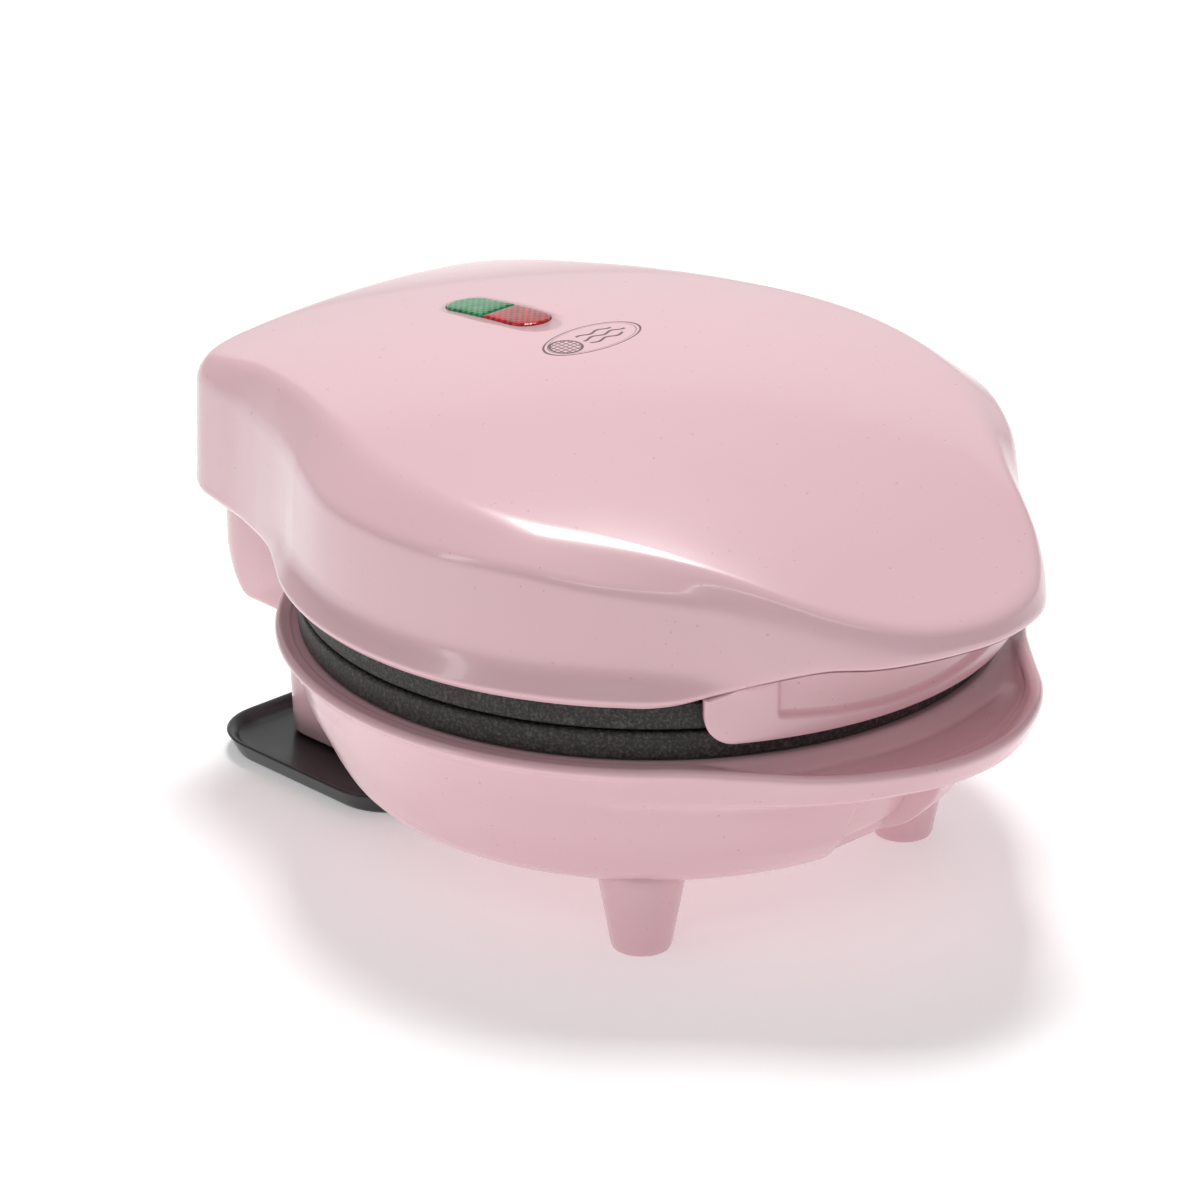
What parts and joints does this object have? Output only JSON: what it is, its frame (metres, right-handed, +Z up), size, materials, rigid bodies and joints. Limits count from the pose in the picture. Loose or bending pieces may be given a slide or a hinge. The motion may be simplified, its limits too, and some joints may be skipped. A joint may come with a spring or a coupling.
{
  "type": "waffle maker",
  "caption": "Round mini waffle maker: glossy clamshell lid with a front tongue handle, hinged at the rear over a bowl-shaped base with feet and a cord-wrap foot.",
  "frame": {"origin": "on the floor, under the axis of the round plates", "axes": "+Z up, -Y towards the handle tongue at the front, +Y towards the hinge"},
  "size_m": [0.16, 0.2, 0.1084],
  "materials": {
    "pink_plastic": "glossy injection-moulded polypropylene, pale pink",
    "pink_plastic_inner": "as moulded, not polished",
    "black_plastic": "glossy black moulding",
    "grey_rubber": "matt soft rubber",
    "black_rubber": "matt rubber",
    "nonstick_aluminium": "cast aluminium with a black speckled non-stick coating",
    "steel_tube": "steel sheath, heat tinted",
    "bright_aluminium": "bright rolled sheet",
    "zinc_steel": "zinc-plated",
    "fuse_metal": "plated can",
    "white_plastic": "unfilled nylon",
    "brass_screws": "plain",
    "wire_sleeve": "silicone sleeve",
    "green_lens": "clear green moulding, fluted inside",
    "red_lens": "clear red moulding, fluted inside",
    "lamp_glass": "clear glass bulb"
  },
  "bodies": {
    "base": {"base_housing": "pink_plastic", "base_column": "pink_plastic", "lower_plate_rim": "nonstick_aluminium", "cord_wrap_foot": "black_plastic", "foot_pads": "grey_rubber", "lower_plate": "nonstick_aluminium", "lower_heating_element": "steel_tube", "lower_reflector": "bright_aluminium", "lower_plate_screws": "zinc_steel", "base_screws": "zinc_steel", "cord_foot_screws": "zinc_steel", "column_bridge": "pink_plastic_inner", "hinge_pivots": "zinc_steel", "thermostat": "steel_tube", "thermal_fuse": "fuse_metal", "fuse_clip": "zinc_steel", "terminal_block": "white_plastic", "terminal_screws": "brass_screws", "cord_gland": "black_rubber", "cord_clamp": "white_plastic", "live_wire": "wire_sleeve", "fuse_wire": "wire_sleeve", "neutral_wire": "wire_sleeve", "hinge_wire": "wire_sleeve"},
    "lid": {"lid_cover": "pink_plastic", "upper_plate_rim": "nonstick_aluminium", "front_apron": "pink_plastic", "upper_plate": "nonstick_aluminium", "upper_heating_element": "steel_tube", "upper_reflector": "bright_aluminium", "upper_plate_screws": "zinc_steel", "lid_screws": "zinc_steel", "lamp_holder": "white_plastic", "lamp_holder_screws": "zinc_steel", "green_lens": "green_lens", "red_lens": "red_lens", "green_lamp": "lamp_glass", "red_lamp": "lamp_glass", "lid_wire": "wire_sleeve", "lamp_wire": "wire_sleeve"}
  },
  "joints": [
    {"name": "lid_hinge", "type": "hinge", "parent": "base", "child": "lid", "pos_m": [0, 0.082, 0.054], "axis": [-1, 0, 0], "range_deg": [0, 95]}
  ]
}
